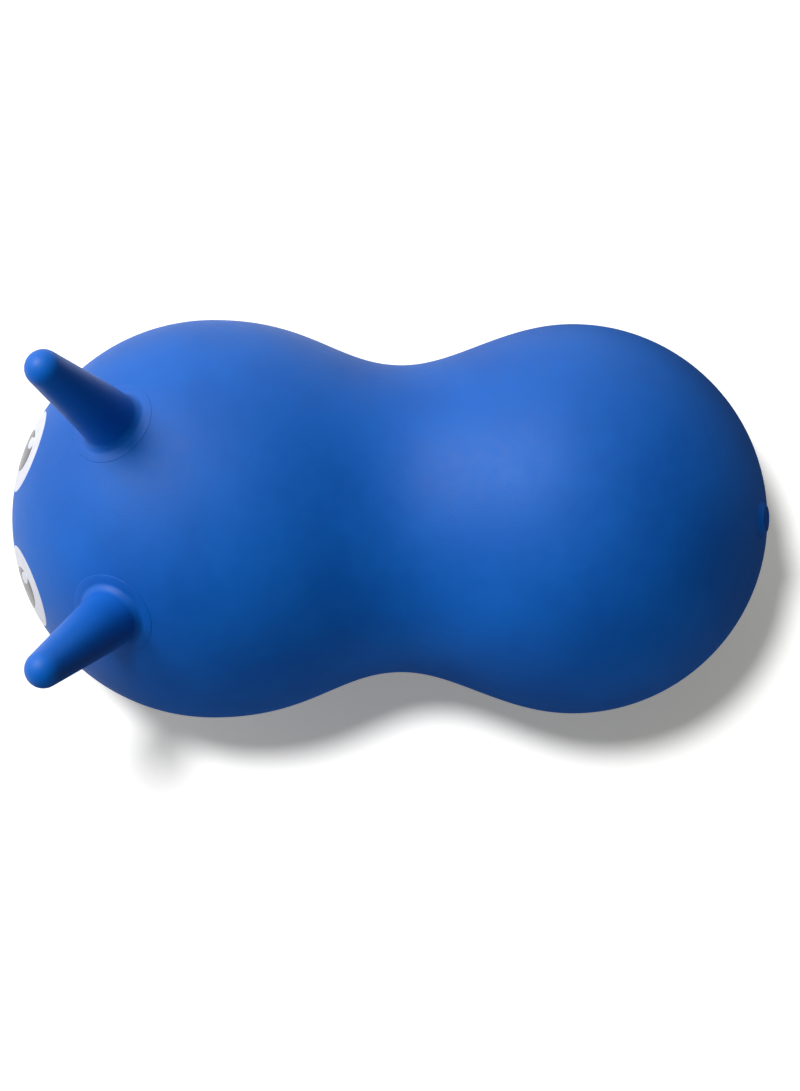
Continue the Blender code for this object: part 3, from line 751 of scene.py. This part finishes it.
def screen_ink(name, full, thin_print, roughness):
    """Screen ink: an even, slightly glossy film with faint pinholes from the mesh."""
    material = bpy.data.materials.new(name)
    material.use_nodes = True
    tree = material.node_tree
    shader = tree.nodes["Principled BSDF"]
    place = add(tree, "ShaderNodeTexCoord").outputs["Object"]
    speckle = add(tree, "ShaderNodeTexNoise", {"Vector": place, "Scale": 1 / INK_SPECKLE, "Detail": 2.0})
    wave = add(tree, "ShaderNodeTexNoise", {"Vector": place, "Scale": 1 / INK_WAVE, "Detail": 2.0})
    both = add(tree, "ShaderNodeMath", {0: speckle.outputs["Fac"], 1: 0.5, 2: wave.outputs["Fac"]},
               operation="MULTIPLY_ADD")
    bare = add(tree, "ShaderNodeMapRange", {"Value": both.outputs[0], "From Min": 0.75, "From Max": 1.05})
    film = add(tree, "ShaderNodeMix", {"Factor": bare.outputs[0], 6: colour(full), 7: colour(thin_print)},
               data_type="RGBA")
    gloss = add(tree, "ShaderNodeMapRange", {
        "Value": wave.outputs["Fac"], "From Min": 0.3, "From Max": 0.7,
        "To Min": roughness - 0.04, "To Max": roughness + 0.04})
    bump = add(tree, "ShaderNodeBump",
               {"Height": speckle.outputs["Fac"], "Strength": 1.0, "Distance": 0.004 * MILLIMETRE})
    tree.links.new(film.outputs[2], shader.inputs["Base Color"])
    tree.links.new(gloss.outputs[0], shader.inputs["Roughness"])
    tree.links.new(bump.outputs[0], shader.inputs["Normal"])
    shader.inputs["IOR"].default_value = 1.43
    return material


white_ink = screen_ink("screen_ink_white", "DDDFEC", "D4D6E4", 0.36)
black_ink = screen_ink("screen_ink_black", "1E1E22", "26262B", 0.24)
print("two inks")

# %% Tree that prints an oval
printing, print_sockets, given = geometry_tree("printed_oval", [
    ("Across", "Vector"), ("Up", "Vector"), ("Middle", "Vector"), ("Half Size", "Vector"),
    ("Lobe", "Vector"), ("Top", "Float"), ("Under", "Float"), ("Rings", "Int"), ("Sides", "Int"),
    ("Ink", "Material")])
columns = add(printing, "ShaderNodeMath", {0: given["Sides"], 1: 1.0}, operation="ADD")
flat = add(printing, "GeometryNodeMeshGrid", {
    "Size X": 1.0, "Size Y": 1.0, "Vertices X": given["Rings"], "Vertices Y": columns.outputs[0]})
unit = add(printing, "ShaderNodeSeparateXYZ", {0: add(printing, "GeometryNodeInputPosition").outputs[0]})
quarter = add(printing, "ShaderNodeMath", {0: unit.outputs["X"], 1: math.pi / 2, 2: math.pi / 4},
              operation="MULTIPLY_ADD")
reach = add(printing, "ShaderNodeMath", {0: quarter.outputs[0]}, operation="SINE").outputs[0]
round_turn = add(printing, "ShaderNodeMath", {0: unit.outputs["Y"], 1: math.tau}, operation="MULTIPLY")
cosine = add(printing, "ShaderNodeMath", {0: round_turn.outputs[0]}, operation="COSINE")
sine = add(printing, "ShaderNodeMath", {0: round_turn.outputs[0]}, operation="SINE")
size = add(printing, "ShaderNodeSeparateXYZ", {0: given["Half Size"]})
wide = add(printing, "ShaderNodeMath", {0: reach, 1: size.outputs["X"]}, operation="MULTIPLY")
tall = add(printing, "ShaderNodeMath", {0: reach, 1: size.outputs["Y"]}, operation="MULTIPLY")
aside = add(printing, "ShaderNodeMath", {0: wide.outputs[0], 1: cosine.outputs[0]}, operation="MULTIPLY")
aloft = add(printing, "ShaderNodeMath", {0: tall.outputs[0], 1: sine.outputs[0]}, operation="MULTIPLY")
step_aside = add(printing, "ShaderNodeVectorMath", {0: given["Across"], "Scale": aside.outputs[0]},
                 operation="SCALE")
step_up = add(printing, "ShaderNodeVectorMath", {0: given["Up"], "Scale": aloft.outputs[0]},
              operation="SCALE")
moved = add(printing, "ShaderNodeVectorMath", {0: given["Middle"], 1: step_aside.outputs[0]},
            operation="ADD")
ray = add(printing, "ShaderNodeVectorMath", {0: moved.outputs[0], 1: step_up.outputs[0]}, operation="ADD")
ball = add(printing, "ShaderNodeVectorMath", {0: ray.outputs[0], 1: given["Lobe"]}, operation="DIVIDE")
far = add(printing, "ShaderNodeVectorMath", {0: ball.outputs[0]}, operation="LENGTH")
nearer = add(printing, "ShaderNodeMath", {0: 1.0, 1: far.outputs["Value"]}, operation="DIVIDE")
skin_point = add(printing, "ShaderNodeVectorMath", {0: ray.outputs[0], "Scale": nearer.outputs[0]},
                 operation="SCALE")
steep = add(printing, "ShaderNodeVectorMath", {0: ball.outputs[0], 1: given["Lobe"]}, operation="DIVIDE")
outward = add(printing, "ShaderNodeVectorMath", {0: steep.outputs[0]}, operation="NORMALIZE")
print("oval lies on the lobe")

# %% Thickness of the ink
EDGE_POWER = 80.0  # the higher, the flatter the film and the steeper its edge
power = add(printing, "ShaderNodeMath", {0: reach, 1: EDGE_POWER}, operation="POWER")
left_over = add(printing, "ShaderNodeMath", {0: 1.0, 1: power.outputs[0]}, operation="SUBTRACT",
                use_clamp=True)
lift = add(printing, "ShaderNodeMath", {0: left_over.outputs[0]}, operation="SQRT")
thickness = add(printing, "ShaderNodeMath", {0: given["Top"], 1: given["Under"]}, operation="SUBTRACT")
raised = add(printing, "ShaderNodeMath", {0: lift.outputs[0], 1: thickness.outputs[0], 2: given["Under"]},
             operation="MULTIPLY_ADD")
faces = []
for height in (raised.outputs[0], given["Under"]):
    shift = add(printing, "ShaderNodeVectorMath", {0: outward.outputs[0], "Scale": height},
                operation="SCALE")
    spot_on = add(printing, "ShaderNodeVectorMath", {0: skin_point.outputs[0], 1: shift.outputs[0]},
                  operation="ADD")
    faces.append(add(printing, "GeometryNodeSetPosition",
                     {"Geometry": flat.outputs[0], "Position": spot_on.outputs[0]}).outputs[0])
film = add(printing, "GeometryNodeJoinGeometry", {"Geometry": faces[0]})
printing.links.new(faces[1], film.inputs[0])
welded = add(printing, "GeometryNodeMergeByDistance", {"Geometry": film.outputs[0], "Distance": 0.000001})
smooth = add(printing, "GeometryNodeSetShadeSmooth", {"Geometry": welded.outputs[0]})
real = add(printing, "GeometryNodeRealizeInstances", {"Geometry": smooth.outputs[0]})
inked = add(printing, "GeometryNodeSetMaterial", {"Geometry": real.outputs[0], "Material": given["Ink"]})
add(printing, "NodeGroupOutput", {"Geometry": inked.outputs[0]})
print(len(printing.nodes), "nodes in the printing tree")

# %% Six ovals of ink
EYE_AZIMUTH = math.radians(20.3)
EYE_ELEVATION = math.radians(14.3)
EYE_SIZE = (0.0624, 0.0666)
PUPIL_SIZE = (0.0314, 0.0410)
CATCHLIGHT_SIZE = (0.0090, 0.0160)
CATCHLIGHT_PLACE = (-0.0062, 0.0120)
INK_LAYER = 0.00013
INK_FOOT = -0.0002
LOBE = Vector((TURNED_SKIN, NOSE_LENGTH, TURNED_SKIN))
prints = []
for side, sign in (("left", 1), ("right", -1)):
    spot, normal = on_lobe(direction(sign * EYE_AZIMUTH, EYE_ELEVATION, -1), NOSE_LENGTH, TURNED_SKIN)
    place = skin_place(spot, normal, Vector((0.0, 0.0, 1.0)))
    sideways, upward = place.col[0].xyz, place.col[1].xyz
    layers = (("eye_white", EYE_SIZE, (0.0, 0.0), white_ink),
              ("eye_pupil", PUPIL_SIZE, (0.0, 0.0), black_ink),
              ("eye_catchlight", CATCHLIGHT_SIZE, CATCHLIGHT_PLACE, white_ink))
    for count, (name, size, middle, ink) in enumerate(layers, 1):
        oval = plain_mesh(f"{name}_{side}_print", printing, print_sockets, {
            "Across": sideways, "Up": upward, "Middle": spot + middle[0] * sideways + middle[1] * upward,
            "Half Size": (size[0] / 2, size[1] / 2, 0.0), "Lobe": LOBE, "Top": count * INK_LAYER,
            "Under": INK_FOOT, "Rings": 20, "Sides": 112, "Ink": ink})
        oval.data.transform(STANCE)
        face_outwards(oval)
        prints.append((oval, f"{name}_{side}", "black_ink" if ink == black_ink else "white_ink"))
        print(oval.name, len(oval.data.vertices), [round(v, 4) for v in oval.dimensions])

# %% [markdown]
# ## Floor
# The photograph has a white ground with a soft grey shadow close round the hopper. For the camera, and
# through anything clear, the floor is white paint with a little glow, so that it is clear white where no
# shadow falls. The glow is slightly warm near the hopper, which takes the blue out of the light that the
# skin throws into its shadow, and it rises far out, where the floor's lamp doesn't reach. Reflections
# see that floor on the key lamp's side only. On the far side they see a dark floor, as if the hopper's
# own long shade lay there. For all other rays it is plain grey paint, so that it lights the hopper's
# underside as a real floor does.

# %% Floor
FLOOR_RADIUS = 40.0
disc = bmesh.new()
bmesh.ops.create_circle(disc, cap_ends=True, segments=96, radius=FLOOR_RADIUS)
floor_mesh = bpy.data.meshes.new("floor")
disc.to_mesh(floor_mesh)
disc.free()
floor = bpy.data.objects.new("floor", floor_mesh)
bpy.context.scene.collection.objects.link(floor)
print("floor", FLOOR_RADIUS)

# %% Floor paint
TOWARDS_KEY = (-0.65, -0.76, 0.0)  # about the level direction of the key lamp
LIT_FROM = 0.18  # distance towards the key lamp from which reflections see the floor fully lit
GLOW_NEAR = 0.25
GLOW_FAR = 1.0
RISE_FROM = 0.7  # distances between which the glow rises
RISE_TO = 2.3
paint = bpy.data.materials.new("white_floor_paint")
paint.use_nodes = True
tree = paint.node_tree
tree.nodes.clear()
rays = add(tree, "ShaderNodeLightPath").outputs
straight = add(tree, "ShaderNodeMath", {0: rays["Is Camera Ray"], 1: rays["Is Transmission Ray"]},
               operation="MAXIMUM")
ground = add(tree, "ShaderNodeTexCoord").outputs["Object"]
key_side = add(tree, "ShaderNodeVectorMath", {0: ground, 1: TOWARDS_KEY}, operation="DOT_PRODUCT")
lit = add(tree, "ShaderNodeMapRange", {
    "Value": key_side.outputs["Value"], "From Min": 0.0, "From Max": LIT_FROM,
    "To Min": 0.0, "To Max": 1.0}, interpolation_type="SMOOTHSTEP")
mirrored = add(tree, "ShaderNodeMath", {0: rays["Is Glossy Ray"], 1: lit.outputs[0]}, operation="MULTIPLY")
seen = add(tree, "ShaderNodeMath", {0: straight.outputs[0], 1: mirrored.outputs[0]}, operation="MAXIMUM")
grey = add(tree, "ShaderNodeBsdfDiffuse", {"Color": colour("9F9F9F")})
# Painted shade: on the far side, reflections see this dark floor in place of the hopper's long shadow.
painted_far_shade = add(tree, "ShaderNodeBsdfDiffuse", {"Color": colour("202020")})
plain = add(tree, "ShaderNodeMixShader",
            {0: rays["Is Glossy Ray"], 1: grey.outputs[0], 2: painted_far_shade.outputs[0]})
white = add(tree, "ShaderNodeBsdfDiffuse", {"Color": colour("FFFFFF")})
far_out = add(tree, "ShaderNodeVectorMath", {0: ground}, operation="LENGTH")
haze = add(tree, "ShaderNodeMapRange", {
    "Value": far_out.outputs["Value"], "From Min": RISE_FROM, "From Max": RISE_TO,
    "To Min": GLOW_NEAR, "To Max": GLOW_FAR}, interpolation_type="SMOOTHSTEP")
warmth = add(tree, "ShaderNodeMix", {"Factor": haze.outputs[0], 6: colour("FFFBE8"), 7: colour("FFFFFF")},
             data_type="RGBA")
glow = add(tree, "ShaderNodeEmission", {"Color": warmth.outputs[2], "Strength": haze.outputs[0]})
lifted = add(tree, "ShaderNodeAddShader", {0: white.outputs[0], 1: glow.outputs[0]})
chosen = add(tree, "ShaderNodeMixShader", {0: seen.outputs[0], 1: plain.outputs[0], 2: lifted.outputs[0]})
add(tree, "ShaderNodeOutputMaterial", {"Surface": chosen.outputs[0]})
floor_mesh.materials.append(paint)
print(len(tree.nodes), "nodes in the floor paint")

# %% [markdown]
# ## Lamps
# The light in the photograph comes from the front and from the animal's right, and leaves the far flank
# dark. A small lamp almost straight above lights only the floor and gives the shadow there. The hopper
# gets a lamp above, a wide key lamp at the front right and two weak fills, at its left and behind. They
# are kept off the floor, and the one behind also off the horns, whose backs are dark in the photograph.
# Together they light the hopper at a plain level, at which a colour that faces them looks about as it
# is written. Blender links a lamp to what it may light through a collection.

# %% What a lamp may light
floor_only = bpy.data.collections.new("floor_only")
off_floor = bpy.data.collections.new("off_floor")
off_horns = bpy.data.collections.new("off_horns")
for group, state, members in (
        (floor_only, "INCLUDE", [floor]), (off_floor, "EXCLUDE", [floor]),
        (off_horns, "EXCLUDE", [floor, horns["left"], horns["right"]])):
    for member in members:
        group.objects.link(member)
    for linked in group.collection_objects:
        linked.light_linking.link_state = state
    print(group.name, state, [member.name for member in members])


# %% Lamps
HOPPER_MIDDLE = Vector((0.0, 0.0, 0.14))


def lamp(name, toward, distance, size, level, mirrored, lights):
    """Round lamp on the hopper's middle; level 1 lights a facing surface plainly."""
    data = bpy.data.lights.new(name, "AREA")
    data.shape = "DISK"
    data.size = size
    data.energy = level * (math.pi * distance) ** 2
    made = bpy.data.objects.new(name, data)
    way = Vector(toward).normalized()
    made.location = HOPPER_MIDDLE + way * distance
    made.rotation_euler = way.to_track_quat("Z", "Y").to_euler()
    made.visible_camera = False
    made.visible_glossy = mirrored
    made.light_linking.receiver_collection = lights
    bpy.context.scene.collection.objects.link(made)


lamp("lamp_above", (-0.25, -0.21, 0.945), 3.0, 0.6, 0.26, False, off_floor)
lamp("lamp_front_right", (-0.50, -0.555, 0.665), 2.6, 1.0, 0.60, True, off_floor)
lamp("lamp_left", (0.90, -0.32, 0.20), 2.6, 1.2, 0.20, False, off_floor)
lamp("lamp_behind", (0.45, 0.88, 0.04), 2.6, 0.40, 0.125, False, off_horns)
lamp("lamp_floor", (-0.22, -0.17, 0.96), 3.0, 0.40, 0.90, False, floor_only)
print(len(bpy.data.lights), "lamps")

# %% [markdown]
# ## World
# The world is white for the camera and through anything clear, so that a level view has a white
# background too. As light, and in reflections, it is bright on the key lamp's side and almost dark on
# the far side, as in a room with one large window.

# %% World
WORLD_TOWARDS_KEY = (-0.75, -0.65, 0.05)
WORLD_DARK = 0.011
WORLD_BRIGHT = 0.81
DARK_UP_TO = 0.1  # how far a direction points to the bright side, about 1 for straight at it
BRIGHT_FROM = 0.95
world = bpy.data.worlds.new("studio")
bpy.context.scene.world = world
world.use_nodes = True
tree = world.node_tree
tree.nodes.clear()
way = add(tree, "ShaderNodeTexCoord").outputs["Generated"]
key_side = add(tree, "ShaderNodeVectorMath", {0: way, 1: WORLD_TOWARDS_KEY}, operation="DOT_PRODUCT")
dim = add(tree, "ShaderNodeMapRange", {
    "Value": key_side.outputs["Value"], "From Min": DARK_UP_TO, "From Max": BRIGHT_FROM,
    "To Min": WORLD_DARK, "To Max": WORLD_BRIGHT}, interpolation_type="SMOOTHSTEP")
rays = add(tree, "ShaderNodeLightPath").outputs
straight = add(tree, "ShaderNodeMath", {0: rays["Is Camera Ray"], 1: rays["Is Transmission Ray"]},
               operation="MAXIMUM")
shown = add(tree, "ShaderNodeMath", {0: straight.outputs[0], 1: dim.outputs[0]}, operation="MAXIMUM")
sky = add(tree, "ShaderNodeBackground", {"Color": colour("FFFFFF"), "Strength": shown.outputs[0]})
add(tree, "ShaderNodeOutputWorld", {"Surface": sky.outputs[0]})
bpy.context.scene.view_settings.view_transform = "Standard"
print("world", world.name)

# %% [markdown]
# ## Hand the pieces to the frame
# Each piece rides on a CAD body and stands for the CAD nodes that it replaces. Only the stopper
# moves, straight out of its bore.

# %% Ride and replace
for piece, body_name, node, slot in (
        (body, "body", "body_shell", "skin_vinyl"), (horns["left"], "body", "horn_left", "horn_vinyl"),
        (horns["right"], "body", "horn_right", "horn_vinyl"), (bush, "body", "valve_bush", "valve_vinyl"),
        (stem, "plug", "valve_plug", "plug_vinyl")):
    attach(piece, body_name)
    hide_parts(node)
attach(ribs, "plug")
for oval, node, slot in prints:
    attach(oval, "body")
    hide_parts(node)
print(len(prints), "ovals of ink ride on the body")
